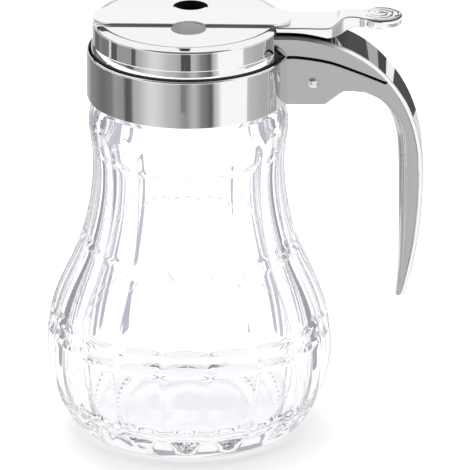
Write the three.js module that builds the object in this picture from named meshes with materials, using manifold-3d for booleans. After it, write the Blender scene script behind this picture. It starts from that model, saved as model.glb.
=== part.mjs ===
// A glass honey dispenser with a two-part chromed screw lid, a handle and a sliding gate.
// Millimetres, +Z up. The origin is the middle of the base, on the surface the jar stands on.
// The handle points along +X.
import * as THREE from "three";
import { mergeVertices } from "three/addons/utils/BufferGeometryUtils.js";
import Module from "manifold-3d";

const wasm = await Module();
wasm.setup();

// Jar: a pear-shaped body of pressed glass with upright flutes
const BELLY_RADIUS = 42.2;
const WAIST_RADIUS = 28.2;
const FOOT_RADIUS = 31.5;
const SHOULDER_HEIGHT = 101.4;
const NECK_RADIUS = 26.6;
const RIM_HEIGHT = 113.3;
const WALL = 3.2;
const FLOOR_HEIGHT = 7;
const FLUTES = 18;
const FLUTE_DEPTH = 1.15;
const SIDES_PER_FLUTE = 4;

// Lower moulding: the screw collar, its bracket and the inner half of the handle
const COLLAR_RADIUS = 29.7;
const COLLAR_BOTTOM = 103;
const COLLAR_TOP = 117.75;
const COLLAR_BORE = 27.2;
const LIP_BORE = 28.65;
const LEDGE_TOP = 114.9;
const LEDGE_BORE = 24.2;
const BRACKET_HALF_WIDTH = 6.4;
const BRACKET_TIP_HALF_WIDTH = 4.4;
const BRACKET_CORNER = 1.4;
const BRACKET_BOTTOM = 102.2;

// Upper moulding: the round cap, the web beside the bracket and the outer half of the handle
const CAP_TOP = 126.58;
const CAP_RADIUS = 27.9;
const CAP_FACE_RADIUS = 25.4;
const CAP_FOOT_RADIUS = 28.35;
const CAP_BOTTOM = 115.3;
const CAP_CEILING = 120;
const CAP_CAVITY_RADIUS = 25.75;
const CAP_FLAT_X = 25.2;
const WEB_HALF_WIDTH = 6.1;
const FLANGE_THICKNESS = 1.2;
const FLANGE_HALF_WIDTH = 8.2;
const FLANGE_BEND_HALF_WIDTH = 6.9;
const FLANGE_TIP_HALF_WIDTH = 4.9;
const TIP_HEIGHT = 41.4;
const SEAM_GAP = 0.55;
const PORT_LEFT = -24.7;
const PORT_RIGHT = -16.8;
const PORT_RADIUS = 2.7;

// Bridge strip across the cap, and the two round wells that notch its edges
const STRIP_HALF_WIDTH = 7.1;
const STRIP_LEFT = -27.4;
const STRIP_RIGHT = 29.9;
const STRIP_CORNER = 5.2;
const STRIP_TOP = 127.21;
const WELL_RADIUS = 5.1;
const WELL_X = 0.4;
const WELL_Y = 9.6;
const WELL_DEPTH = 5.2;

// Gate: a blade under the strip, a strap over the handle and a round thumb pad
const STRAP_TOP = 126.2;
const STRAP_HALF_WIDTH = 7.25;
const STRAP_LEFT = 25.6;
const STRAP_RIGHT = 40.6;
const BLADE_HALF_WIDTH = 3.6;
const BLADE_THICKNESS = 0.75;
const NECK_HALF_WIDTH = 3.7;
const NECK_X = 47.2;
const PAD_X = 56;
const PAD_RADIUS = 6.2;
const PAD_TOP = 128.35;
const PAD_BOTTOM = 125.45;
const PAD_RINGS = [1.2, 2.7, 4.3];
const RING_RISE = 0.25;

// Rivet: a pin along Y that holds the two mouldings together, domed at both ends
const RIVET_X = 36.5;
const RIVET_Z = 108.9;
const RIVET_SHANK = 0.9;
const RIVET_HEAD = 1.7;

// Play between parts that pass each other
const GAP = 0.3;

const ROUND = 64;
const TAU = 2 * Math.PI;

const chrome = new THREE.MeshStandardMaterial({ color: 0xd9dadc, roughness: 0.06, metalness: 1 });
const brightChrome = new THREE.MeshStandardMaterial({ color: 0xe6e7e8, roughness: 0.05, metalness: 1 });
const steel = new THREE.MeshStandardMaterial({ color: 0xcfd0d2, roughness: 0.15, metalness: 1 });
const glass = new THREE.MeshStandardMaterial({
  color: 0xf4f3f7,
  roughness: 0.03,
  metalness: 0,
  transparent: true,
  opacity: 0.35,
});

// A closed geometry as a solid that can be joined and cut.
function solidOf(geometry) {
  const bare = geometry.clone();
  bare.deleteAttribute("normal");
  bare.deleteAttribute("uv");
  const merged = mergeVertices(bare, 1e-4);
  const corners = [];
  const index = merged.index.array;
  for (let i = 0; i < index.length; i += 3) {
    const [a, b, c] = [index[i], index[i + 1], index[i + 2]];
    if (a !== b && b !== c && c !== a) corners.push(a, b, c);
  }
  return new wasm.Manifold(
    new wasm.Mesh({
      numProp: 3,
      vertProperties: merged.attributes.position.array,
      triVerts: new Uint32Array(corners),
    }),
  );
}

// The named mesh of a solid.
function meshOf(name, solid, material) {
  const { vertProperties, triVerts } = solid.getMesh();
  const geometry = new THREE.BufferGeometry();
  geometry.setAttribute("position", new THREE.BufferAttribute(vertProperties, 3));
  geometry.setIndex(new THREE.BufferAttribute(triVerts, 1));
  geometry.computeVertexNormals();
  const mesh = new THREE.Mesh(geometry, material);
  mesh.name = name;
  return mesh;
}

const vectors = (pairs) => pairs.map(([x, y]) => new THREE.Vector2(x, y));
const smooth = (pairs, steps) => new THREE.SplineCurve(vectors(pairs)).getPoints(steps);

// A profile of [radius, height] points turned about the Z axis.
function turned(profile, sides = ROUND) {
  return new THREE.LatheGeometry(profile, sides).rotateX(Math.PI / 2);
}

// A side outline of [x, z] points, extruded evenly to both sides of Y = 0.
function sideways(points, halfWidth) {
  const geometry = new THREE.ExtrudeGeometry(new THREE.Shape(points), {
    depth: 2 * halfWidth,
    bevelEnabled: false,
  });
  return solidOf(geometry.rotateX(Math.PI / 2).translate(0, halfWidth, 0));
}

// A plan outline raised from one height to another.
function raised(shape, from, to, curveSegments = 12) {
  const depth = to - from;
  const geometry = new THREE.ExtrudeGeometry(shape, { depth, bevelEnabled: false, curveSegments });
  return solidOf(geometry.translate(0, 0, from));
}

// A front outline, given as half widths at heights, extruded along X between two places.
function widthLimit(heights, from, to) {
  const right = heights.map(([z, w]) => new THREE.Vector2(w, z));
  const left = [...right].reverse().map((p) => new THREE.Vector2(-p.x, p.y));
  const geometry = new THREE.ExtrudeGeometry(new THREE.Shape([...right, ...left]), {
    depth: to - from,
    bevelEnabled: false,
  });
  return solidOf(geometry.rotateX(Math.PI / 2).rotateZ(Math.PI / 2).translate(from, 0, 0));
}

function box(low, high) {
  const size = high.map((v, i) => v - low[i]);
  const geometry = new THREE.BoxGeometry(...size);
  return solidOf(geometry.translate(...low.map((v, i) => v + size[i] / 2)));
}

function upright(x, y, radius, from, to, sides = 32) {
  const geometry = new THREE.CylinderGeometry(radius, radius, to - from, sides);
  return solidOf(geometry.rotateX(Math.PI / 2).translate(x, y, (from + to) / 2));
}

// Rings of points joined side by side, with a fan over each end.
function lofted(rings) {
  const count = rings[0].length;
  const positions = rings.flat().flatMap((p) => p.toArray());
  const index = [];
  for (let i = 0; i + 1 < rings.length; i++) {
    for (let j = 0; j < count; j++) {
      const a = i * count + j;
      const b = i * count + ((j + 1) % count);
      index.push(a, b, a + count, b, b + count, a + count);
    }
  }
  const last = (rings.length - 1) * count;
  for (let j = 1; j + 1 < count; j++) {
    index.push(0, j + 1, j);
    index.push(last, last + j, last + j + 1);
  }
  const geometry = new THREE.BufferGeometry();
  geometry.setAttribute("position", new THREE.Float32BufferAttribute(positions, 3));
  geometry.setIndex(index);
  const solid = solidOf(geometry);
  return solid.volume() > 0 ? solid : solidOf(geometry.setIndex(index.reverse()));
}

// Outside of the jar over its ridges, from the foot up to the shoulder
const jarOutside = smooth(
  [
    [FOOT_RADIUS, 0],
    [34.2, 1.6],
    [36.7, 5],
    [39.5, 10],
    [41.3, 16],
    [BELLY_RADIUS, 24],
    [41.3, 34],
    [38.3, 44],
    [33.7, 54],
    [30.4, 64],
    [28.6, 74],
    [WAIST_RADIUS, 84],
    [29.1, 92],
    [29.1, 97],
    [27.9, SHOULDER_HEIGHT],
  ],
  27,
);

const jarInside = smooth(
  [
    [27.5, FLOOR_HEIGHT],
    [34.5, 9.5],
    [38.1, 16],
    [BELLY_RADIUS - WALL, 25],
    [38.1, 34],
    [35.1, 44],
    [30.5, 54],
    [27.2, 64],
    [25.4, 74],
    [WAIST_RADIUS - WALL, 84],
    [24.9, 93],
    [23.6, SHOULDER_HEIGHT],
  ],
  16,
);

// How far the scoop of a flute has risen out of the glass: it ends in an arch above and a U below.
function fluteRise(z) {
  const below = 1 - THREE.MathUtils.smoothstep(z, 2.2, 9);
  const above = THREE.MathUtils.smoothstep(z, 90, 99);
  return below + above;
}

// Fluted body and plain neck, with the inside cut out of it.
function jar() {
  const profile = [
    new THREE.Vector2(0, 0),
    ...jarOutside,
    ...vectors([
      [NECK_RADIUS, SHOULDER_HEIGHT + 0.9],
      [NECK_RADIUS, RIM_HEIGHT - 0.8],
      [NECK_RADIUS - 0.8, RIM_HEIGHT],
      [0, RIM_HEIGHT],
    ]),
  ];
  const sides = FLUTES * SIDES_PER_FLUTE;
  const geometry = turned(profile, sides);
  const p = geometry.attributes.position;
  for (let i = 0; i < p.count; i++) {
    const { x: radius, y: z } = profile[i % profile.length];
    const side = Math.floor(i / profile.length) % sides;
    const across = (2 * (side % SIDES_PER_FLUTE)) / SIDES_PER_FLUTE - 1;
    const scoop = Math.max(0, 1 - across * across - fluteRise(z));
    const reach = radius * (1 - (FLUTE_DEPTH / BELLY_RADIUS) * scoop);
    const angle = (TAU * side) / sides - TAU / (2 * FLUTES);
    p.setXY(i, reach * Math.sin(angle), -reach * Math.cos(angle));
  }
  const insideProfile = [
    new THREE.Vector2(0, FLOOR_HEIGHT),
    ...jarInside,
    ...vectors([
      [NECK_RADIUS - 3, RIM_HEIGHT - 0.8],
      [NECK_RADIUS - 2.2, RIM_HEIGHT],
      [NECK_RADIUS - 2.2, RIM_HEIGHT + 1],
      [0, RIM_HEIGHT + 1],
    ]),
  ];
  return solidOf(geometry).subtract(solidOf(turned(insideProfile, 54)));
}

// Outer line of the handle, [x, z], from the cap over the bend and down to the tip
const handleOuter = new THREE.SplineCurve(
  vectors([
    [23.5, 124],
    [34, 123.7],
    [44, 121.2],
    [52, 117],
    [59, 110.4],
    [64.5, 101.6],
    [67.9, 90.6],
    [68.75, 78],
    [67.5, 60],
    [64, TIP_HEIGHT],
  ]),
);

// The same line moved towards the jar by a distance, between two fractions of its length.
function handleLine(inset, from, to, steps) {
  const points = [];
  for (let i = 0; i <= steps; i++) {
    const t = from + ((to - from) * i) / steps;
    const tangent = handleOuter.getTangentAt(t);
    const inward = new THREE.Vector2(tangent.y, -tangent.x);
    points.push(handleOuter.getPointAt(t).addScaledVector(inward, inset));
  }
  return points;
}

// The fraction of the line's length at which it first reaches a place x.
function fractionAt(x) {
  let [low, high] = [0, 0.6];
  while (high - low > 1e-6) {
    const middle = (low + high) / 2;
    if (handleOuter.getPointAt(middle).x < x) low = middle;
    else high = middle;
  }
  return low;
}

// Where the upper and the lower moulding meet on the handle's side
const seam = [
  [27.9, 116.9],
  [32.5, 116.9],
  [41.1, 115.5],
  [49.5, 112.5],
  [57.6, 109.2],
];
const SEAM_MEETS_FLANGE = fractionAt(59.2);

// Edge between the flat side of the lower moulding and its rounded inner face
const sideEdge = [
  [52, 106],
  [56.4, 103.9],
  [60.4, 100.3],
  [63.3, 95.6],
  [64.4, 90.5],
  [64.9, 79],
  [64.4, 64],
  [63.4, 53],
  [62, TIP_HEIGHT],
];

const handleWidths = (top, bend, tip) => [
  [TIP_HEIGHT - 1, tip],
  [96, bend],
  [112, (top + bend) / 2],
  [117, top],
  [CAP_TOP + 2, top],
];

// Rounded inner face of the handle, which swells below the bend and dies away at the tip
function handleInnerFace() {
  const line = new THREE.SplineCurve(vectors(sideEdge));
  const rows = 18;
  const around = 12;
  const rings = [];
  for (let i = 0; i <= rows; i++) {
    const t = i / rows;
    const at = line.getPoint(t);
    const along = line.getTangent(t);
    const inward = new THREE.Vector2(along.y, -along.x);
    const rise = 3 * THREE.MathUtils.smoothstep(t, 0.02, 0.42);
    const fall = 2.1 * THREE.MathUtils.smoothstep(t, 0.6, 1);
    const swell = 0.3 + rise - fall;
    const narrowing = THREE.MathUtils.smoothstep(t, 0.3, 1);
    const width = THREE.MathUtils.lerp(BRACKET_HALF_WIDTH, BRACKET_TIP_HALF_WIDTH, narrowing) - 0.02;
    const ring = [];
    for (let j = 0; j < around; j++) {
      const angle = (TAU * j) / around;
      const reach = Math.cos(angle) > 0 ? swell * Math.cos(angle) : 0.7 * Math.cos(angle);
      const p = at.clone().addScaledVector(inward, reach);
      ring.push(new THREE.Vector3(p.x, width * Math.sin(angle), p.y));
    }
    rings.push(ring);
  }
  return lofted(rings);
}

function lowerMoulding() {
  const collarProfile = vectors([
    [COLLAR_BORE, COLLAR_BOTTOM],
    [COLLAR_RADIUS - 0.5, COLLAR_BOTTOM],
    [COLLAR_RADIUS, COLLAR_BOTTOM + 0.5],
    [COLLAR_RADIUS, COLLAR_TOP - 0.85],
    [COLLAR_RADIUS - 0.25, COLLAR_TOP - 0.25],
    [COLLAR_RADIUS - 0.7, COLLAR_TOP],
    [LIP_BORE, COLLAR_TOP - 0.15],
    [LIP_BORE, LEDGE_TOP],
    [LEDGE_BORE, LEDGE_TOP],
    [LEDGE_BORE, LEDGE_TOP - 1.2],
    [COLLAR_BORE, LEDGE_TOP - 1.2],
    [COLLAR_BORE, COLLAR_BOTTOM],
  ]);
  const collar = solidOf(turned(collarProfile));
  const underSeam = smooth(seam.map(([x, z]) => [x, z - SEAM_GAP]), 12);
  const underFlange = handleLine(FLANGE_THICKNESS + GAP, SEAM_MEETS_FLANGE, 1, 20);
  const edge = smooth(sideEdge, 20).reverse();
  const [cornerX, cornerZ] = [39.4, BRACKET_BOTTOM + BRACKET_CORNER];
  const corner = new THREE.EllipseCurve(
    cornerX,
    cornerZ,
    BRACKET_CORNER,
    BRACKET_CORNER,
    -Math.PI / 4,
    -Math.PI / 2,
    true,
  );
  const bracket = sideways(
    [
      ...vectors([[28.2, BRACKET_BOTTOM], [28.2, seam[0][1] - SEAM_GAP]]),
      ...underSeam,
      ...underFlange,
      ...edge,
      ...vectors([[48, 106.4], [45.4, 106.35], [44.6, 105.9]]),
      ...corner.getPoints(4),
    ],
    BRACKET_HALF_WIDTH,
  );
  const widths = handleWidths(BRACKET_HALF_WIDTH + 1, BRACKET_HALF_WIDTH, BRACKET_TIP_HALF_WIDTH);
  const limit = widthLimit(widths, 20, 80);
  const rivetHole = solidOf(
    new THREE.CylinderGeometry(RIVET_SHANK + GAP, RIVET_SHANK + GAP, 40, 20).translate(RIVET_X, 0, RIVET_Z),
  );
  const webRoom = box(
    [20, -WEB_HALF_WIDTH - GAP, seam[0][1] - SEAM_GAP + 0.2],
    [31, WEB_HALF_WIDTH + GAP, CAP_TOP],
  );
  return collar.subtract(webRoom).add(bracket.intersect(limit)).add(handleInnerFace()).subtract(rivetHole);
}

function upperMoulding() {
  const capProfile = vectors([
    [0, CAP_BOTTOM],
    [CAP_FOOT_RADIUS, CAP_BOTTOM],
    [CAP_FOOT_RADIUS, 118.4],
    [CAP_RADIUS, 119.9],
    [CAP_RADIUS, CAP_TOP - 0.75],
    [CAP_RADIUS - 0.3, CAP_TOP - 0.45],
    [CAP_FACE_RADIUS, CAP_TOP],
    [0, CAP_TOP],
  ]);
  const cap = solidOf(turned(capProfile)).subtract(box([CAP_FLAT_X, -40, 110], [40, 40, 130]));
  const cavityEnd = box([CAP_FLAT_X - 1.8, -40, 110], [40, 40, 130]);
  const round = upright(0, 0, CAP_CAVITY_RADIUS, CAP_BOTTOM - 1, CAP_CEILING, ROUND);
  const cavity = round.subtract(cavityEnd);
  const channelHalf = BLADE_HALF_WIDTH + GAP;
  const channelFloor = STRAP_TOP - BLADE_THICKNESS - GAP;
  const channel = box([-40, -channelHalf, channelFloor], [40, channelHalf, CAP_TOP + 1]);
  const port = new THREE.Shape();
  port.absarc(PORT_LEFT + PORT_RADIUS, 0, PORT_RADIUS, Math.PI / 2, -Math.PI / 2);
  port.absarc(PORT_RIGHT - PORT_RADIUS, 0, PORT_RADIUS, -Math.PI / 2, Math.PI / 2);
  const wells = [-WELL_Y, WELL_Y].map((y) =>
    upright(WELL_X, y, WELL_RADIUS, CAP_TOP - WELL_DEPTH, CAP_TOP + 1),
  );
  const web = sideways(
    [
      ...handleLine(FLANGE_THICKNESS / 2, 0, SEAM_MEETS_FLANGE, 14),
      ...smooth(seam, 12).reverse(),
      ...vectors([[26.4, 117.4], [25.3, 118.7], [CAP_FLAT_X - 0.8, 118.9]]),
    ],
    WEB_HALF_WIDTH,
  );
  const flangeLine = [...handleLine(0, 0, 1, 34), ...handleLine(FLANGE_THICKNESS, 0, 1, 34).reverse()];
  const flange = sideways(flangeLine, FLANGE_HALF_WIDTH + 1);
  const widths = handleWidths(FLANGE_HALF_WIDTH, FLANGE_BEND_HALF_WIDTH, FLANGE_TIP_HALF_WIDTH);
  const limit = widthLimit(widths, 20, 80);
  let solid = cap.subtract(cavity).add(web).add(flange.intersect(limit));
  solid = solid.subtract(channel).subtract(raised(port, CAP_CEILING - 1, CAP_TOP));
  return wells.reduce((made, well) => made.subtract(well), solid);
}

function bridgeStrip() {
  const [l, r, w, c] = [STRIP_LEFT, STRIP_RIGHT, STRIP_HALF_WIDTH, STRIP_CORNER];
  const shape = new THREE.Shape();
  shape.absarc(r - c, w - c, c, 0, Math.PI / 2);
  shape.absarc(l + c, w - c, c, Math.PI / 2, Math.PI);
  shape.absarc(l + c, c - w, c, Math.PI, 1.5 * Math.PI);
  shape.absarc(r - c, c - w, c, 1.5 * Math.PI, TAU);
  const strip = raised(shape, CAP_TOP + 0.06, STRIP_TOP, 8);
  const notches = [-WELL_Y, WELL_Y].map((y) =>
    upright(WELL_X, y, WELL_RADIUS - 0.1, CAP_TOP - 1, STRIP_TOP + 1),
  );
  return notches.reduce((made, notch) => made.subtract(notch), strip);
}

// Blade, strap and thumb pad: a plan outline cut to a side outline.
function gate() {
  const plan = new THREE.Shape();
  plan.moveTo(STRAP_LEFT, -STRAP_HALF_WIDTH);
  plan.lineTo(STRAP_RIGHT, -STRAP_HALF_WIDTH);
  plan.bezierCurveTo(43.6, -STRAP_HALF_WIDTH, 44, -NECK_HALF_WIDTH, NECK_X, -NECK_HALF_WIDTH);
  plan.bezierCurveTo(49.5, -NECK_HALF_WIDTH, 50.2, -4.6, 51.9, -4.65);
  plan.absarc(PAD_X, 0, PAD_RADIUS, -2.294, 2.294);
  plan.bezierCurveTo(50.2, 4.6, 49.5, NECK_HALF_WIDTH, NECK_X, NECK_HALF_WIDTH);
  plan.bezierCurveTo(44, NECK_HALF_WIDTH, 43.6, STRAP_HALF_WIDTH, STRAP_RIGHT, STRAP_HALF_WIDTH);
  plan.lineTo(STRAP_LEFT, STRAP_HALF_WIDTH);
  const top = smooth(
    [
      [STRAP_RIGHT, STRAP_TOP],
      [42.6, 126.8],
      [45.4, 128.3],
      [48, 128.6],
      [51.5, PAD_TOP],
      [64, PAD_TOP],
    ],
    16,
  );
  const overHandle = handleLine(-0.42, fractionAt(STRAP_LEFT - 0.9), fractionAt(STRAP_RIGHT - 0.8), 8);
  const under = smooth(
    [
      [STRAP_RIGHT, 122.85],
      [44.3, 123.35],
      [47.4, 124.9],
      [51, PAD_BOTTOM],
      [64, PAD_BOTTOM],
    ],
    14,
  );
  const side = sideways(
    [
      ...vectors([[STRAP_LEFT - 1, overHandle[0].y], [STRAP_LEFT - 1, STRAP_TOP]]),
      ...top,
      ...under.reverse(),
      ...overHandle.reverse(),
    ],
    STRAP_HALF_WIDTH + 1,
  );
  const bladeBox = box(
    [-CAP_RADIUS - 1, -BLADE_HALF_WIDTH, STRAP_TOP - BLADE_THICKNESS],
    [STRAP_LEFT + 0.6, BLADE_HALF_WIDTH, STRAP_TOP],
  );
  const blade = bladeBox.intersect(upright(0, 0, CAP_RADIUS - 0.1, 120, 130, 96));
  const rings = PAD_RINGS.map((radius) => padRing(radius));
  const body = raised(plan, 118, 132, 10).intersect(side).add(blade);
  return rings.reduce((made, ring) => made.add(ring), body);
}

// A low raised ring on the thumb pad.
function padRing(radius) {
  const [foot, crest] = [0.35, 0.15];
  const profile = vectors([
    [radius - foot, PAD_TOP - 0.3],
    [radius + foot, PAD_TOP - 0.3],
    [radius + crest, PAD_TOP + RING_RISE],
    [radius - crest, PAD_TOP + RING_RISE],
    [radius - foot, PAD_TOP - 0.3],
  ]);
  return solidOf(turned(profile, 28).translate(PAD_X, 0, 0));
}

function rivet() {
  const face = BRACKET_HALF_WIDTH + 0.06;
  const dome = (sign) => [
    [RIVET_SHANK, sign * face],
    [RIVET_HEAD, sign * face],
    [RIVET_HEAD, sign * (face + 0.25)],
    [1.1, sign * (face + 0.65)],
    [0, sign * (face + 0.8)],
  ];
  const profile = vectors([...dome(-1).reverse(), ...dome(1)]);
  return solidOf(new THREE.LatheGeometry(profile, 20).translate(RIVET_X, 0, RIVET_Z));
}

const dispenser = new THREE.Group();
dispenser.add(
  meshOf("jar", jar(), glass),
  meshOf("collar_bracket", lowerMoulding(), chrome),
  meshOf("cap_housing", upperMoulding(), chrome),
  meshOf("bridge_strip", bridgeStrip(), brightChrome),
  meshOf("gate_lever", gate(), brightChrome),
  meshOf("rivet", rivet(), steel),
);
export default dispenser;
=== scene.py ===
"""An empty glass honey dispenser with a chromed lid, a curved handle and a sliding pour gate.

Sizes in the sections are in millimetres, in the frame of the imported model: the origin is the middle of
the jar's base, +Z is up and +X points to the handle.
"""
import bisect
import itertools
import math

import bmesh
import bpy
from mathutils import Matrix, Vector


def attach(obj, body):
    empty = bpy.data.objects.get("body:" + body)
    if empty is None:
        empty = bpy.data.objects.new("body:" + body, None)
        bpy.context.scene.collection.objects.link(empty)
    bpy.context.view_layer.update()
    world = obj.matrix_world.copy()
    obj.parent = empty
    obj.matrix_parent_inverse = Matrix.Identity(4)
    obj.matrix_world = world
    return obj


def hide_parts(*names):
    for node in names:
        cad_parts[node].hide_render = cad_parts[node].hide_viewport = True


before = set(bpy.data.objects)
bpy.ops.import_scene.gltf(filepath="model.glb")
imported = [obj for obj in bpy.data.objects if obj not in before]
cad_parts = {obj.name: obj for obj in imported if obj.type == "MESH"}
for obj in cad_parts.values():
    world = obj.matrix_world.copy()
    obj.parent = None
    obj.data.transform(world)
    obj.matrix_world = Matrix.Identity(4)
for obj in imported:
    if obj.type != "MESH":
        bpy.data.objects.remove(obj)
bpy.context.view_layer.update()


# Jar
# A pear-shaped jar of clear glass, pressed in a mould with eighteen scooped flutes and a stippled ring
# to stand on. Its plain neck goes up into the lid's collar.

def even_curve(points, steps):
    """Points along a curve through each given point, whose bend changes evenly (a cubic spline)."""
    points = [Vector(point) for point in points]
    pulls = list(points)
    for _ in range(40):
        for i in range(1, len(points) - 1):
            pulls[i] = (6 * points[i] - pulls[i - 1] - pulls[i + 1]) / 4
    ends = [2 * pulls[0] - pulls[1], *pulls, 2 * pulls[-1] - pulls[-2]]
    spans = len(points) - 1
    made = []
    for i in range(steps + 1):
        place = i / steps * spans
        k = min(int(place), spans - 1)
        t = place - k
        a, b, c, d = ends[k:k + 4]
        made.append(((1 - t) ** 3 * a + (3 * t ** 3 - 6 * t * t + 4) * b
                     + (-3 * t ** 3 + 3 * t * t + 3 * t + 1) * c + t ** 3 * d) / 6)
    return made


def curve_through(points, steps):
    """Points spread along a curve that goes through each given point and hugs its straight stretches."""
    ends = [Vector(points[0]), *map(Vector, points), Vector(points[-1])]
    spans = len(points) - 1
    made = []
    for i in range(steps + 1):
        place = i / steps * spans
        k = min(int(place), spans - 1)
        t = place - k
        a, b, c, d = ends[k:k + 4]
        made.append(0.5 * (2 * b + (c - a) * t + (2 * a - 5 * b + 4 * c - d) * t * t
                           + (3 * b - a - 3 * c + d) * t ** 3))
    return made


def ease(value, low, high):
    """0 below low, 1 above high, and smooth between them."""
    t = min(max((value - low) / (high - low), 0), 1)
    return t * t * (3 - 2 * t)


def turned(bm, profile, sides):
    """A profile of (radius, height) points turned about the Z axis, closed where it meets the axis."""
    line = [bm.verts.new((r, 0, z)) for r, z in profile]
    edges = [bm.edges.new(pair) for pair in zip(line, line[1:])]
    bmesh.ops.spin(bm, geom=line + edges, cent=(0, 0, 0), axis=(0, 0, 1), steps=sides, angle=math.tau,
                   use_merge=True)
    bmesh.ops.remove_doubles(bm, verts=bm.verts, dist=1e-4)
    bmesh.ops.recalc_face_normals(bm, faces=bm.faces)


def placed(name, data):
    """A new object in the scene that shows this mesh, light or camera."""
    made = bpy.data.objects.new(name, data)
    bpy.context.scene.collection.objects.link(made)
    return made


def finished(bm, name, body, node, slot, *materials, sharp=35, flat=True):
    """The modelled shape as a piece of the object, in metres, standing for its node of the frame.

    A piece with flat sides has its shading evened, so that only its soft edges look round.
    """
    bmesh.ops.scale(bm, vec=(0.001, 0.001, 0.001), verts=bm.verts)
    mesh = bpy.data.meshes.new(name)
    bm.to_mesh(mesh)
    bm.free()
    mesh.shade_smooth()
    mesh.set_sharp_from_angle(angle=math.radians(sharp))
    for material in materials:
        mesh.materials.append(material)
    piece = placed(name, mesh)
    if flat:
        evened = piece.modifiers.new("evened_shading", "WEIGHTED_NORMAL")
        evened.keep_sharp = True
        evened.weight = 95
    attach(piece, body)
    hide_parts(node)


def material_named(name, **sockets):
    """A material whose one shader has these plain values. Returns it, its node tree and the shader."""
    material = bpy.data.materials.new(name)
    material.use_nodes = True
    shader = material.node_tree.nodes["Principled BSDF"]
    for socket, value in sockets.items():
        shader.inputs[socket.replace("_", " ")].default_value = value
    return material, material.node_tree, shader


def noise_on_piece(tree, scale, detail, stretch=(1, 1, 1)):
    """A noise texture fixed to the piece, with its scale in turns per metre."""
    where = tree.nodes.new("ShaderNodeTexCoord")
    mapping = tree.nodes.new("ShaderNodeMapping")
    mapping.inputs["Scale"].default_value = stretch
    noise = tree.nodes.new("ShaderNodeTexNoise")
    noise.inputs["Scale"].default_value = scale
    noise.inputs["Detail"].default_value = detail
    tree.links.new(where.outputs["Object"], mapping.inputs["Vector"])
    tree.links.new(mapping.outputs["Vector"], noise.inputs["Vector"])
    return noise


def ripple(tree, shader, height, strength, distance):
    """Raises and lowers a surface's shading by a texture."""
    bump = tree.nodes.new("ShaderNodeBump")
    bump.inputs["Strength"].default_value = strength
    bump.inputs["Distance"].default_value = distance
    tree.links.new(height, bump.inputs["Height"])
    tree.links.new(bump.outputs["Normal"], shader.inputs["Normal"])


clear_glass, tree, shader = material_named(
    "clear_glass", Base_Color=(0.985, 0.984, 1.0, 1), Roughness=0.0, IOR=1.5, Transmission_Weight=1.0)
swirl = noise_on_piece(tree, 34, 1.0, (1, 1, 0.45))
ripple(tree, shader, swirl.outputs["Fac"], 0.35, 0.0012)

FLUTES = 18
SIDES_PER_FLUTE = 16
FLUTE_DEPTH = 1.15
BELLY_RADIUS = 42.2
STIPPLES = 48
STIPPLE_DEPTH = 0.3

outside = even_curve(
    [(31.5, 0), (34.2, 1.6), (36.7, 5), (39.5, 10), (41.3, 16), (42.2, 24), (41.3, 34), (38.3, 44),
     (33.7, 54), (30.4, 64), (28.6, 74), (28.2, 84), (29.1, 92), (29.1, 97), (27.9, 101.4)], 140)
neck = [(26.6, 102.3), (26.6, 112.3), (26.4, 112.9), (25.8, 113.3), (24.4, 113.3), (23.8, 112.9),
        (23.6, 112.3)]
inside = even_curve(
    [(23.6, 101.4), (24.9, 93), (25.0, 84), (25.4, 74), (27.2, 64), (30.5, 54), (35.1, 44), (38.1, 34),
     (39.0, 25), (38.1, 16), (34.5, 9.5), (27.5, 7)], 110)
hollow = even_curve([(0, 0.7), (10, 0.66), (19, 0.44), (24, 0.18), (27.4, 0)], 30)
foot = [(28, 0), (28.6, 0), (29.2, 0), (30.4, 0)]
bm = bmesh.new()
turned(bm, [*hollow, *foot, *outside, *neck, *inside, (14, 6.8), (0, 6.75)], FLUTES * SIDES_PER_FLUTE)
outer_wall = {(round(r, 2), round(z, 2)) for r, z in outside}
for vert in bm.verts:
    radius = math.hypot(vert.co.x, vert.co.y)
    z = vert.co.z
    if radius < 1:
        continue
    turn = math.atan2(vert.co.x, -vert.co.y)
    if z == 0 and foot[0][0] - 0.1 < radius < foot[2][0] + 0.1:
        vert.co.z = STIPPLE_DEPTH * math.sin(turn) ** 4 * max(0, math.cos(STIPPLES * turn))
    if (round(radius, 2), round(z, 2)) not in outer_wall:
        continue
    # From -1 to 1 across a flute, which runs out smoothly at the heel and below the neck
    across = (turn * FLUTES / math.tau + 0.5) % 1 * 2 - 1
    run_out = 1 - ease(z, 1.5, 14) + ease(z, 88, 99)
    scoop = max(0, 1 - across * across - run_out)
    reach = 1 - FLUTE_DEPTH / BELLY_RADIUS * scoop
    vert.co.x *= reach
    vert.co.y *= reach
finished(bm, "fluted_jar", "dispenser", "jar", "glass", clear_glass, sharp=60, flat=False)


# Collar and bracket
# The lower of the lid's two chromed mouldings: a screw collar round the jar's neck, with a bracket that
# carries on as the inner half of the handle. The collar is polished and the rest has a satin shine.

polished_chrome, tree, shader = material_named(
    "polished_chrome", Base_Color=(0.90, 0.902, 0.91, 1), Metallic=1.0, Roughness=0.04)
waviness = noise_on_piece(tree, 60, 2.0)
ripple(tree, shader, waviness.outputs["Fac"], 0.2, 0.0002)

# Painted shade: a dark, dull metal for faces in the gaps and hollows of the lid, where shade falls
shaded_metal, tree, shader = material_named(
    "shaded_metal", Base_Color=(0.075, 0.075, 0.08, 1), Metallic=1.0, Roughness=0.5)
grain = noise_on_piece(tree, 400, 3.0)
ripple(tree, shader, grain.outputs["Fac"], 0.3, 0.0002)

COLLAR_SIDES = 192

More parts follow.
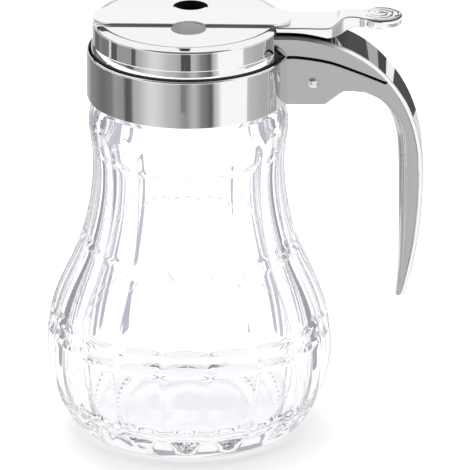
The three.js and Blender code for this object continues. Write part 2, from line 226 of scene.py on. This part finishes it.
collar_profile = [
    (27.2, 103.15), (27.35, 103), (29.3, 103), (29.55, 103.1), (29.7, 103.4), (29.7, 116.7), (29.66, 117.0),
    (29.56, 117.25), (29.4, 117.38), (29.25, 117.38), (29.1, 117.25), (28.8, 116.8), (28.65, 116.5),
    (28.65, 114.9), (24.2, 114.9), (24.2, 113.7), (27.2, 113.7), (27.2, 103.15)]
bm = bmesh.new()
turned(bm, collar_profile, COLLAR_SIDES)
# Painted shade: the collar's inner floor and wall, under the cap, get the dark metal
for face in bm.faces:
    middle = face.calc_center_median()
    face.material_index = 1 if 113 < middle.z < 117 and math.hypot(middle.x, middle.y) < 29 else 0
finished(bm, "screw_collar", "dispenser", "collar_bracket", "chrome", polished_chrome, shaded_metal)

satin_chrome, tree, shader = material_named(
    "satin_chrome", Base_Color=(0.43, 0.432, 0.435, 1), Metallic=1.0, Roughness=0.1)
waviness = noise_on_piece(tree, 60, 2.0)
ripple(tree, shader, waviness.outputs["Fac"], 0.15, 0.0002)

BRACKET_HALF_WIDTH = 6.4
TIP = 41.4
SEAM_GAP = 0.55
FLANGE_THICKNESS = 1.2

handle_outer = curve_through(
    [(23.5, 124), (34, 123.7), (44, 121.2), (52, 117), (59, 110.4), (64.5, 101.6), (67.9, 90.6),
     (68.75, 78), (67.5, 60), (64, TIP)], 900)
lengths = [0, *itertools.accumulate((b - a).length for a, b in zip(handle_outer, handle_outer[1:]))]


def along_handle(inset, start, end, steps):
    """Points beside the handle's outer line, between two fractions of its length."""
    made = []
    for i in range(steps + 1):
        want = (start + (end - start) * i / steps) * lengths[-1]
        k = min(max(bisect.bisect_left(lengths, want), 1), len(lengths) - 1)
        a, b = handle_outer[k - 1], handle_outer[k]
        part = (want - lengths[k - 1]) / (lengths[k] - lengths[k - 1])
        way = (b - a).normalized()
        made.append(a.lerp(b, part) + Vector((way.y, -way.x)) * inset)
    return made


def fraction_at(x):
    """The fraction of the handle's length at which its outer line, on its way out, reaches a place x."""
    return lengths[next(k for k, point in enumerate(handle_outer) if point.x >= x)] / lengths[-1]


def drawn_out(bm, corners, way):
    """A flat face through these corners, extruded along a way."""
    face = bm.faces.new([bm.verts.new(corner) for corner in corners])
    made = bmesh.ops.extrude_face_region(bm, geom=[face])["geom"]
    bmesh.ops.translate(bm, vec=way, verts=[v for v in made if isinstance(v, bmesh.types.BMVert)])
    bmesh.ops.recalc_face_normals(bm, faces=bm.faces)


def plate(bm, outline, half_width):
    """A side outline of (x, z) points, extruded evenly to both sides."""
    drawn_out(bm, [(x, -half_width, z) for x, z in outline], (0, 2 * half_width, 0))


def soften(bm, radius, segments, least, among=lambda edge: True):
    """Rounds the edges of a shape, or some among them, that are sharper than an angle."""
    edges = [e for e in bm.edges
             if e.is_manifold and e.calc_face_angle(0) > math.radians(least) and among(e)]
    bmesh.ops.bevel(bm, geom=edges, offset=radius, offset_type="OFFSET", affect="EDGES",
                    segments=segments, profile=0.5, material=-1, clamp_overlap=True)


def narrow(bm, heights):
    """Draws the sides of a plate of half width 1 in or out, by (height, half width) pairs."""
    for vert in bm.verts:
        z = vert.co.z
        low = max((h for h in heights if h[0] <= z), default=heights[0])
        high = min((h for h in heights if h[0] >= z), default=heights[-1])
        part = 0 if high[0] == low[0] else (z - low[0]) / (high[0] - low[0])
        vert.co.y *= low[1] + (high[1] - low[1]) * part


seam = curve_through([(27.9, 116.9), (32.5, 116.9), (41.1, 115.5), (49.5, 112.5), (57.6, 109.2)], 32)
meets_flange = fraction_at(59.2)
side_edge = curve_through(
    [(52, 106), (56.4, 103.9), (60.4, 100.3), (63.3, 95.6), (64.4, 90.5), (64.9, 79), (64.4, 64),
     (63.4, 53), (62, TIP)], 72)
CORNER_RADIUS = 1.4
corner = [(39.4 + CORNER_RADIUS * math.cos(a), 103.6 + CORNER_RADIUS * math.sin(a))
          for a in (-math.pi / 4 - math.pi / 4 * i / 5 for i in range(6))]
outline = [(28.2, 102.2), (28.2, 116.35), *((x, z - SEAM_GAP) for x, z in seam if x > 28.4),
           *along_handle(FLANGE_THICKNESS + 0.14, meets_flange, 1, 60), *reversed(side_edge),
           (48, 106.4), (45.4, 106.35), (44.6, 105.9), *corner]
bm = bmesh.new()
plate(bm, outline, 1)
narrow(bm, [(40, 4.4), (96, BRACKET_HALF_WIDTH), (130, BRACKET_HALF_WIDTH)])
soften(bm, 0.2, 3, 40)
# Painted shade: the bracket's upward faces, in the gap under the web's seam, get the dark metal
for face in bm.faces:
    painted_shade_under_seam = face.normal.z > 0.75 and face.calc_center_median().z > 108
    face.material_index = 1 if painted_shade_under_seam else 0
finished(bm, "bracket", "dispenser", "collar_bracket", "chrome", satin_chrome, shaded_metal)

# The handle's rounded inner face, which swells below the bend and dies away at the tip
bm = bmesh.new()
ring = bmesh.ops.create_circle(bm, cap_ends=False, segments=40, radius=1)["verts"]
edges = bm.edges[:]
unit = [v.co.copy() for v in ring]
rows = []
for i, at in enumerate(side_edge):
    t = i / (len(side_edge) - 1)
    near = side_edge[max(i - 1, 0)]
    far = side_edge[min(i + 1, len(side_edge) - 1)]
    way = (far - near).normalized()
    inward = Vector((way.y, -way.x))
    swell = 0.3 + 3 * ease(t, 0.02, 0.42) - 2.1 * ease(t, 0.6, 1)
    width = BRACKET_HALF_WIDTH - 2 * ease(t, 0.3, 1) - 0.05
    rows.append((at, inward, swell, width))


def lay_ring(verts, row):
    """Lays a ring round one place on the handle's inner edge, swollen on the side off the handle."""
    at, inward, swell, width = row
    for vert, shape in zip(verts, unit):
        reach = (swell if shape.x > 0 else 0.7) * shape.x
        vert.co = (at.x + inward.x * reach, width * shape.y, at.y + inward.y * reach)


lay_ring(ring, rows[0])
bmesh.ops.contextual_create(bm, geom=edges)
for row in rows[1:]:
    made = bmesh.ops.extrude_edge_only(bm, edges=edges)["geom"]
    new_edges = [g for g in made if isinstance(g, bmesh.types.BMEdge)]
    follow = {}
    for vert in ring:
        for edge in vert.link_edges:
            other = edge.other_vert(vert)
            if other in made and all(other is not v for v in ring):
                follow[vert] = other
    ring = [follow[v] for v in ring]
    edges = [e for e in new_edges if all(v in ring for v in e.verts)]
    lay_ring(ring, row)
bmesh.ops.contextual_create(bm, geom=edges)
bmesh.ops.recalc_face_normals(bm, faces=bm.faces)
finished(bm, "handle_inner_face", "dispenser", "collar_bracket", "chrome", satin_chrome, sharp=50)


# Rivet
# A steel pin through the bracket, domed over at both ends, which holds the two mouldings together.

rivet_steel, tree, shader = material_named(
    "rivet_steel", Base_Color=(0.72, 0.72, 0.73, 1), Metallic=1.0, Roughness=0.2)
grain = noise_on_piece(tree, 900, 3.0)
ripple(tree, shader, grain.outputs["Fac"], 0.15, 0.0001)

dome = [(0, 7.24), (0.6, 7.17), (1.1, 6.98), (1.5, 6.72), (1.68, 6.5), (1.7, 6.46), (0.9, 6.46)]
bm = bmesh.new()
turned(bm, [*dome, *((r, -z) for r, z in reversed(dome))], 40)
bmesh.ops.rotate(bm, verts=bm.verts, cent=(0, 0, 0), matrix=Matrix.Rotation(math.pi / 2, 3, "X"))
bmesh.ops.translate(bm, verts=bm.verts, vec=(36.5, 0, 108.9))
finished(bm, "bracket_rivet", "dispenser", "rivet", "steel", rivet_steel)


# Cap, web and handle back
# The upper chromed moulding: a round cap with a flat on the handle side and two wells in its top, a web
# that stands on the bracket, and the outer half of the handle as a thin flange over both.

CAP_TOP = 126.58
WELL_RADIUS = 5.1
WELL_DEPTH = 5.2
WELL_X = 0.4
WELL_Y = 9.6
RIM_RADIUS = 0.3


def cut(bm, cutter):
    """Takes one closed shape out of another."""
    shape = placed("shape", bpy.data.meshes.new("shape"))
    tool = placed("tool", bpy.data.meshes.new("tool"))
    bm.to_mesh(shape.data)
    cutter.to_mesh(tool.data)
    cutter.free()
    boolean = shape.modifiers.new("cut", "BOOLEAN")
    boolean.object = tool
    boolean.operation = "DIFFERENCE"
    boolean.solver = "EXACT"
    result = shape.evaluated_get(bpy.context.evaluated_depsgraph_get()).to_mesh()
    bm.clear()
    bm.from_mesh(result)
    for made in (shape, tool):
        mesh = made.data
        bpy.data.objects.remove(made)
        bpy.data.meshes.remove(mesh)


def block(low, high):
    """A box between two corners."""
    made = bmesh.new()
    bmesh.ops.create_cube(made, size=1)
    low, high = Vector(low), Vector(high)
    bmesh.ops.scale(made, vec=high - low, verts=made.verts)
    bmesh.ops.translate(made, vec=(low + high) / 2, verts=made.verts)
    return made


def drum(x, y, radius, low, high, sides=96):
    """An upright cylinder."""
    made = bmesh.new()
    bmesh.ops.create_cone(made, cap_ends=True, segments=sides, radius1=radius, radius2=radius,
                          depth=high - low)
    bmesh.ops.translate(made, vec=(x, y, (low + high) / 2), verts=made.verts)
    return made


cap_profile = [
    (0, 115.3), (24.5, 115.3), (28.1, 115.3), (28.5, 115.5), (28.5, 116), (28.45, 117.4), (28.42, 118),
    (28.2, 119.2), (28.05, 119.8), (27.9, 120.3), (27.9, 125.3), (27.84, 125.62), (27.7, 125.88),
    (27.48, 126.06), (27.2, 126.18), (25.9, 126.47), (25.5, 126.54), (25.1, 126.57), (24.7, CAP_TOP),
    (0, CAP_TOP)]
# Painted light: a satin finish with a lighter, partly metallic grey for the front well, while the rear well
# is painted shade with the dark metal
well_satin_painted_light, tree, shader = material_named(
    "well_satin_painted_light", Base_Color=(0.6, 0.6, 0.61, 1), Metallic=0.35, Roughness=0.3)
brushing = noise_on_piece(tree, 300, 2.0, (1, 1, 0.05))
ripple(tree, shader, brushing.outputs["Fac"], 0.1, 0.0002)
bm = bmesh.new()
turned(bm, cap_profile, COLLAR_SIDES)
cut(bm, block((25.2, -40, 110), (40, 40, 130)))
cut(bm, drum(0, 0, 23.2, 114, 120, COLLAR_SIDES))
cut(bm, block((-40, -3.9, 125.15), (40, 3.9, 130)))
for side in (-WELL_Y, WELL_Y):
    cut(bm, drum(WELL_X, side, WELL_RADIUS, CAP_TOP - WELL_DEPTH, 130))
bmesh.ops.remove_doubles(bm, verts=bm.verts, dist=1e-3)
soften(bm, RIM_RADIUS, 3, 60,
       among=lambda edge: all(abs(v.co.z - CAP_TOP) < 0.01 for v in edge.verts))
# Painted light and shade: the front well gets the lighter grey and the rear well the dark metal; the cap's
# foot, in the gap above the collar's lip, is painted shade with the dark metal
for face in bm.faces:
    middle = face.calc_center_median()
    in_well = math.hypot(middle.x - WELL_X, abs(middle.y) - WELL_Y) < WELL_RADIUS + 0.05
    if in_well and 120 < middle.z < CAP_TOP - 0.35:
        face.material_index = 1 if middle.y < 0 else 2
    if math.hypot(middle.x, middle.y) > 28.3 and middle.z < 118:
        face.material_index = 2
finished(bm, "round_cap", "dispenser", "cap_housing", "chrome", polished_chrome, well_satin_painted_light, shaded_metal,
         sharp=30)

bm = bmesh.new()
plate(bm, [*along_handle(FLANGE_THICKNESS / 2, 0, meets_flange, 40), *reversed(seam), (26.4, 117.4),
           (25.3, 118.7), (24.4, 118.9)], 6.1)
soften(bm, 0.3, 3, 40)
finished(bm, "cap_web", "dispenser", "cap_housing", "chrome", satin_chrome)

bm = bmesh.new()
plate(bm, [*along_handle(0, 0, 1, 110), *reversed(along_handle(FLANGE_THICKNESS, 0, 1, 110))], 1)
narrow(bm, [(40, 4.9), (96, 6.9), (112, 7.55), (117, 8.2), (130, 8.2)])
soften(bm, 0.28, 4, 40)

def linked(tree, kind, *inputs, **settings):
    """A shader node with these settings, whose first inputs are fed by numbers or other nodes."""
    node = tree.nodes.new("ShaderNode" + kind)
    for setting, value in settings.items():
        setattr(node, setting, value)
    for socket, value in zip(node.inputs, inputs):
        if isinstance(value, (int, float)):
            socket.default_value = value
        else:
            tree.links.new(value, socket)
    return node


def ramp(tree, place, stops, interpolation="LINEAR"):
    """Colours that follow a place from 0 to 1, by (place, colour) pairs with both ends among them."""
    node = linked(tree, "ValToRGB", place)
    node.color_ramp.interpolation = interpolation
    elements = node.color_ramp.elements
    for stop, colour in stops[1:-1]:
        elements.new(stop).color = (*colour, 1)
    elements[0].color = (*stops[0][1], 1)
    elements[-1].color = (*stops[-1][1], 1)
    return node.outputs["Color"]


# Painted shade: dark where the handle leaves the lid, under the gate, and bright from there on, by its
# distance outward in decimetres
handle_chrome_painted_shade, tree, shader = material_named("handle_chrome_painted_shade", Metallic=1.0, Roughness=0.04)
where = linked(tree, "TexCoord").outputs["Object"]
apart = linked(tree, "SeparateXYZ", where)
outward = linked(tree, "Math", apart.outputs["X"], 10, operation="MULTIPLY").outputs[0]
painted_shade_colour = ramp(tree, outward, [(0, (0.1, 0.1, 0.101)), (0.36, (0.1, 0.1, 0.101)), (0.42, (0.3, 0.3, 0.303)),
                              (0.47, (0.9, 0.9, 0.909)), (1, (0.9, 0.9, 0.91))])
tree.links.new(painted_shade_colour, shader.inputs["Base Color"])

finished(bm, "handle_back", "dispenser", "cap_housing", "chrome", handle_chrome_painted_shade)


# Bridge strip
# A bright strip with round corners across the top of the cap, cut away over the two wells. The gate
# slides under it.

bright_chrome, tree, shader = material_named(
    "bright_chrome", Base_Color=(0.91, 0.915, 0.92, 1), Metallic=1.0, Roughness=0.035)
waviness = noise_on_piece(tree, 70, 2.0)
ripple(tree, shader, waviness.outputs["Fac"], 0.2, 0.0002)

STRIP_LEFT = -27.4
STRIP_RIGHT = 29.9
STRIP_HALF_WIDTH = 7.1
STRIP_CORNER = 5.2
STRIP_LIFT = 0.06
STRIP_THICKNESS = 0.57

around = []
for x, y, start in ((STRIP_RIGHT - STRIP_CORNER, 1, 0), (STRIP_LEFT + STRIP_CORNER, 1, 1),
                    (STRIP_LEFT + STRIP_CORNER, -1, 2), (STRIP_RIGHT - STRIP_CORNER, -1, 3)):
    for i in range(13):
        turn = (start + i / 12) * math.pi / 2
        around.append((x + STRIP_CORNER * math.cos(turn),
                       y * (STRIP_HALF_WIDTH - STRIP_CORNER) + STRIP_CORNER * math.sin(turn),
                       CAP_TOP + STRIP_LIFT))
bm = bmesh.new()
drawn_out(bm, around, (0, 0, STRIP_THICKNESS))
for side in (-WELL_Y, WELL_Y):
    cut(bm, drum(WELL_X, side, WELL_RADIUS - 0.1, 120, 130))
bmesh.ops.remove_doubles(bm, verts=bm.verts, dist=1e-3)
soften(bm, 0.08, 2, 50)
finished(bm, "cap_strip", "dispenser", "bridge_strip", "bright_chrome", bright_chrome, sharp=30)


# Gate
# The sliding gate: a blade under the strip that shuts the pour port, a strap over the handle, and an arm
# that rises to a round thumb pad with three rings for grip.

STRAP_START = 25.6
STRAP_END = 40.6
STRAP_TOP = 126.2
STRAP_HALF_WIDTH = 7.25
STRAP_LIFT = 0.42
PAD_X = 56
PAD_TOP = 128.35
PAD_BOTTOM = 125.45

plan = curve_through([*((x, STRAP_HALF_WIDTH) for x in (STRAP_START, 33, STRAP_END)), (42.7, 6.3),
                      (44.6, 4.5), (47.2, 3.7), (49.6, 3.9), (51.9, 4.65), (PAD_X, 5.0)], 72)
tops = curve_through([(STRAP_START, STRAP_TOP), (33, STRAP_TOP), (STRAP_END, STRAP_TOP), (42.6, 126.8),
                      (45.4, 128.3), (48, 128.6), (51.5, PAD_TOP), (PAD_X, PAD_TOP)], 84)
unders = [*along_handle(-STRAP_LIFT, fraction_at(24.7), fraction_at(39.8), 40),
          *curve_through([(STRAP_END, 122.85), (44.3, 123.35), (47.4, 124.9), (51, PAD_BOTTOM),
                          (PAD_X, PAD_BOTTOM)], 60)]


def height_at(line, x):
    """The height of a line of points above a place x."""
    for a, b in zip(line, line[1:]):
        if a.x <= x <= b.x:
            return a.y + (b.y - a.y) * (x - a.x) / max(b.x - a.x, 1e-6)
    return line[-1].y if x > line[-1].x else line[0].y


# Painted shade and painted dark reflections: a dark, dull metal for the thumb pad's grooves and the sloped
# edges of the arm and pad
painted_dark_edges, tree, shader = material_named(
    "painted_dark_edges", Base_Color=(0.13, 0.13, 0.135, 1), Metallic=0.7, Roughness=0.35)
grain = noise_on_piece(tree, 500, 2.0)
ripple(tree, shader, grain.outputs["Fac"], 0.2, 0.0001)

ARM_SLICES = 76
SHADED_TO = 42
bm = block((STRAP_START, -1, 0), (PAD_X, 1, 1))
for i in range(1, ARM_SLICES):
    everything = [*bm.verts, *bm.edges, *bm.faces]
    cut_at = (STRAP_START + (PAD_X - STRAP_START) * i / ARM_SLICES, 0, 0)
    bmesh.ops.bisect_plane(bm, geom=everything, plane_co=cut_at, plane_no=(1, 0, 0), dist=1e-4)
for vert in bm.verts:
    x = vert.co.x
    vert.co.y *= height_at(plan, x)
    vert.co.z = height_at(tops if vert.co.z > 0.5 else unders, x)
bmesh.ops.recalc_face_normals(bm, faces=bm.faces)
soften(bm, 0.4, 3, 45)
# Painted shade: the strap's underside over the handle gets the dark metal. Painted dark reflections: the
# arm's sloped edges get the dark edge metal.
for face in bm.faces:
    if face.normal.z < -0.8 and face.calc_center_median().x < SHADED_TO:
        face.material_index = 2
    elif 0.35 < face.normal.z < 0.93 and abs(face.normal.y) > 0.3:
        face.material_index = 1
finished(bm, "gate_arm", "gate", "gate_lever", "bright_chrome", bright_chrome, painted_dark_edges, shaded_metal)

RING_GROOVES = (1.7, 3.4, 5.1)
GROOVE_DEPTH = 0.09

pad_profile = [(0, PAD_BOTTOM), (5.2, PAD_BOTTOM), (5.75, 125.6), (6.1, 126.0), (6.2, 126.5), (6.2, 127.5),
               (6.15, 127.85), (5.95, 128.15), (5.7, 128.3)]
for groove in reversed(RING_GROOVES):
    for outward, depth in ((0.4, 0), (0.2, GROOVE_DEPTH), (-0.2, GROOVE_DEPTH), (-0.4, 0)):
        pad_profile.append((groove + outward, PAD_TOP - depth))
pad_profile.append((0, PAD_TOP))
bm = bmesh.new()
turned(bm, pad_profile, 96)
# Painted shade in the pad's grooves, and a painted dark reflection round the middle of its rim
for face in bm.faces:
    middle = face.calc_center_median()
    radius = math.hypot(middle.x, middle.y)
    in_groove = middle.z > PAD_TOP - 0.2 and any(abs(radius - groove) < 0.25 for groove in RING_GROOVES)
    on_edge = 127.9 < middle.z < 128.25 and radius > 5.7
    face.material_index = 1 if in_groove or on_edge else 0
bmesh.ops.translate(bm, vec=(PAD_X, 0, 0), verts=bm.verts)
finished(bm, "thumb_pad", "gate", "gate_lever", "bright_chrome", bright_chrome, painted_dark_edges)

# The blade's far end is round, and stays just inside the cap's wall
BLADE_BOTTOM = 125.45
BLADE_REACH = 27.8
bm = block((-29, -3.6, BLADE_BOTTOM), (26.2, 3.6, STRAP_TOP))
ring_outside = drum(0, 0, 60, 120, 130)
cut(ring_outside, drum(0, 0, BLADE_REACH, 119, 131, COLLAR_SIDES))
cut(bm, ring_outside)
soften(bm, 0.12, 2, 50)
finished(bm, "gate_blade", "gate", "gate_lever", "bright_chrome", bright_chrome)


# Studio
# A pale floor under soft light. The chrome is lit by a ring of light and dark cards, dark flags further
# off, a bright panel to the front right and a banded backdrop to the back right, and the glass by tinted
# cards. All but the floor are out of the camera's sight.

FLOOR_GLOW = 0.86

# The glow dims in a ring close round the jar's foot, more in front than behind, by decimetres from its
# middle, as where the jar shades the floor it stands on
floor_white, tree, shader = material_named(
    "floor_white", Base_Color=(0.34, 0.34, 0.345, 1), Roughness=0.9, Emission_Color=(1, 1, 1, 1),
    Emission_Strength=FLOOR_GLOW)
where = linked(tree, "TexCoord").outputs["Object"]
away = linked(tree, "VectorMath", where, operation="LENGTH").outputs["Value"]
scaled = linked(tree, "Math", away, 10, operation="MULTIPLY").outputs[0]
contact = ramp(tree, scaled, [(place, (level, level, level)) for place, level in (
    (0, 0), (0.29, 0), (0.35, 1), (0.40, 0.8), (0.62, 0), (1, 0))], "EASE")
apart = linked(tree, "SeparateXYZ", where)
toward_front = linked(tree, "MapRange", apart.outputs["Y"], 0.04, -0.045, 0.06, 0.36).outputs[0]
shade = linked(tree, "Math", contact, toward_front, operation="MULTIPLY").outputs[0]
lit = linked(tree, "Math", FLOOR_GLOW, shade, operation="SUBTRACT").outputs[0]
tree.links.new(lit, shader.inputs["Emission Strength"])

bm = bmesh.new()
bmesh.ops.create_circle(bm, cap_ends=True, segments=96, radius=4)
floor_mesh = bpy.data.meshes.new("floor")
bm.to_mesh(floor_mesh)
bm.free()
floor_mesh.materials.append(floor_white)
floor = placed("floor", floor_mesh)
floor.location.z = -0.0002


def glowing(name, value, tint=(1, 1, 1)):
    """A material that gives off an even light. Returns it, its node tree and its one shader."""
    material, tree, shader = material_named(name)
    tree.nodes.remove(shader)
    glow = tree.nodes.new("ShaderNodeEmission")
    glow.inputs["Color"].default_value = (*(value * c for c in tint), 1)
    tree.links.new(glow.outputs["Emission"], tree.nodes["Material Output"].inputs["Surface"])
    return material, tree, glow


def reflected(name, shape, material, by_glass=False):
    """A stage object that only the chrome, or only what passes through the glass, can see."""
    mesh = bpy.data.meshes.new(name)
    shape.to_mesh(mesh)
    shape.free()
    mesh.materials.append(material)
    made = placed(name, mesh)
    made.visible_camera = False
    made.visible_shadow = False
    made.visible_diffuse = False
    made.visible_glossy = not by_glass
    made.visible_transmission = by_glass


def upright(name, left, right, low, high, value, tint=(1, 1, 1), by_glass=False):
    """A flat card that stands on the line between two (x, y) places, in millimetres."""
    shape = bmesh.new()
    corners = [(*left, low), (*right, low), (*right, high), (*left, high)]
    shape.faces.new([shape.verts.new([c / 1000 for c in corner]) for corner in corners])
    reflected(name, shape, glowing(name, value, tint)[0], by_glass)


def bowed(name, low_edge, high_edge, value, tint=(1, 1, 1), by_glass=False):
    """A card bowed round the jar's axis, between two edges of (radius, height, start, end).

    An edge runs between two turns in degrees from the camera's side.
    """
    shape = bmesh.new()
    rows = []
    for i in range(25):
        row = []
        for radius, z, start, end in (low_edge, high_edge):
            turn = math.radians(start + (end - start) * i / 24)
            row.append(shape.verts.new((radius * math.sin(turn) / 1000, -radius * math.cos(turn) / 1000,
                                        z / 1000)))
        rows.append(row)
    for (a, b), (c, d) in zip(rows, rows[1:]):
        shape.faces.new((a, c, d, b))
    reflected(name, shape, glowing(name, value, tint)[0], by_glass)


# The ring's brightness at these turns in degrees, from the camera's side round towards the handle
RING = [(-180, 0.8), (-150, 0.55), (-125, 0.25), (-100, 0.16), (-88, 0.2), (-80, 0.33), (-70, 0.3),
        (-65, 0.1), (-60, 0.12), (-55, 0.45), (-35, 0.74), (-15, 0.5), (-1, 0.3), (7, 0.5), (17, 0.22),
        (25, 0.12), (29, 0.55), (38, 1.1), (50, 1.02), (70, 0.52), (85, 0.44), (98, 0.42), (106, 0.25),
        (112, 0.7), (150, 0.75), (180, 0.8)]
RING_RADIUS = 0.13
ring_cards, tree, glow = glowing("ring_cards", 1)
turned_round = linked(tree, "Mapping", linked(tree, "TexCoord").outputs["Object"])
turned_round.inputs["Rotation"].default_value = (0, 0, math.pi / 2)
around = linked(tree, "TexGradient", turned_round.outputs["Vector"], gradient_type="RADIAL")
levels = ramp(tree, around.outputs["Color"],
              [((turn + 180) / 360, (level, level, level)) for turn, level in RING], "EASE")
tree.links.new(levels, glow.inputs["Color"])
for name, low, high in (("lower_ring", 0, 0.1), ("upper_ring", 0.114, 0.15)):
    shape = bmesh.new()
    bmesh.ops.create_cone(shape, cap_ends=False, segments=180, radius1=RING_RADIUS, radius2=RING_RADIUS,
                          depth=high - low)
    bmesh.ops.translate(shape, verts=shape.verts, vec=(0, 0, (low + high) / 2))
    reflected(name, shape, ring_cards)

# Dark and light cards for the lid's front and sides
upright("cap_flag", (-13, -125), (9, -125), 82, 100, 0.08)
upright("cap_line", (-5, -124.5), (-3, -124.5), 83, 90, 0.5)
upright("collar_flag", (-13, -125), (-2, -125), 70, 82, 0.22)
for start, end, value in ((-137, -121, 0.15), (-106.5, -99, 0.2), (-98, -94, 0.7), (-93, -84, 0.1),
                          (-84, -62.5, 0.33), (-62.5, -57.5, 0.1), (97, 112, 1.0)):
    bowed("cap_card_%d" % round(start + 180), (123, 80.5, start, end), (123, 100, start, end), value)
upright("front_flag", (-700, -480), (700, -480), 140, 1500, 0.14)
upright("back_flag", (-900, 600), (900, 600), 402, 470, 0.08)
upright("boom", (-38, 500), (-12, 500), 560, 960, 0.05)

# A bright panel to the front right, and a banded backdrop to the back right
upright("side_panel", (24, -45), (82, -45), 15, 122, 1.02)
for name, low, high, value in (("low", 82, 104, 0.08), ("gap", 104, 110, 0.95), ("middle", 110, 116, 0.07),
                               ("grey", 116, 122.5, 0.42), ("high", 122.5, 137, 0.08)):
    upright("back_band_" + name, (54, 50), (98, 50), low, high, value)

# Tinted cards that show in the sides of the glass
VIOLET_GREY = (0.97, 0.96, 1.08)
for side, name in ((-1, "left"), (1, "right")):
    bowed("glass_" + name, (75, 0, side * 139, side * 152), (112, 88, side * 131, side * 157), 0.48,
          VIOLET_GREY, by_glass=True)
    bowed("glass_far_" + name, (75, 0, side * 98, side * 112), (112, 88, side * 92, side * 120), 0.33,
          VIOLET_GREY, by_glass=True)
upright("heel_card", (-400, 600), (400, 600), 226, 262, 0.4, VIOLET_GREY, by_glass=True)


def soft_light(name, place, aim, size, power):
    """A square area light that points from one place to another."""
    lamp = bpy.data.lights.new(name, "AREA")
    lamp.shape = "SQUARE"
    lamp.size = size
    lamp.energy = power
    made = placed(name, lamp)
    made.location = place
    made.rotation_euler = (Vector(aim) - Vector(place)).to_track_quat("-Z", "Y").to_euler()
    made.visible_glossy = False
    made.visible_transmission = False


soft_light("key", (-0.3, 0.8, 1.2), (0, 0, 0.05), 0.8, 10)
soft_light("fill", (-0.7, -0.6, 1.2), (0, 0, 0.06), 0.9, 4)

world = bpy.data.worlds.new("studio")
world.use_nodes = True
world.node_tree.nodes["Background"].inputs["Color"].default_value = (1, 1, 1, 1)
world.node_tree.nodes["Background"].inputs["Strength"].default_value = 1.0
bpy.context.scene.world = world

# Light passes many times between the walls of thick glass before it comes out
bpy.context.scene.cycles.max_bounces = 24
bpy.context.scene.cycles.glossy_bounces = 20
bpy.context.scene.cycles.transmission_bounces = 20

bpy.context.scene.view_settings.view_transform = "Standard"
bpy.context.scene.view_settings.look = "None"

CAMERA_TURN = math.radians(1.4)
CAMERA_RISE = math.radians(22.087)
CAMERA_DISTANCE = 1.8
CAMERA_AIM = (0.013599, 0, 0.058415)
camera_data = bpy.data.cameras.new("camera")
camera_data.sensor_width = 36
camera_data.lens = 467.4
camera_data.clip_end = 20
camera = placed("camera", camera_data)
camera.location = Vector(CAMERA_AIM) + CAMERA_DISTANCE * Vector((
    math.sin(CAMERA_TURN) * math.cos(CAMERA_RISE), -math.cos(CAMERA_TURN) * math.cos(CAMERA_RISE),
    math.sin(CAMERA_RISE)))
camera.rotation_euler = (math.pi / 2 - CAMERA_RISE, 0, CAMERA_TURN)
bpy.context.scene.camera = camera
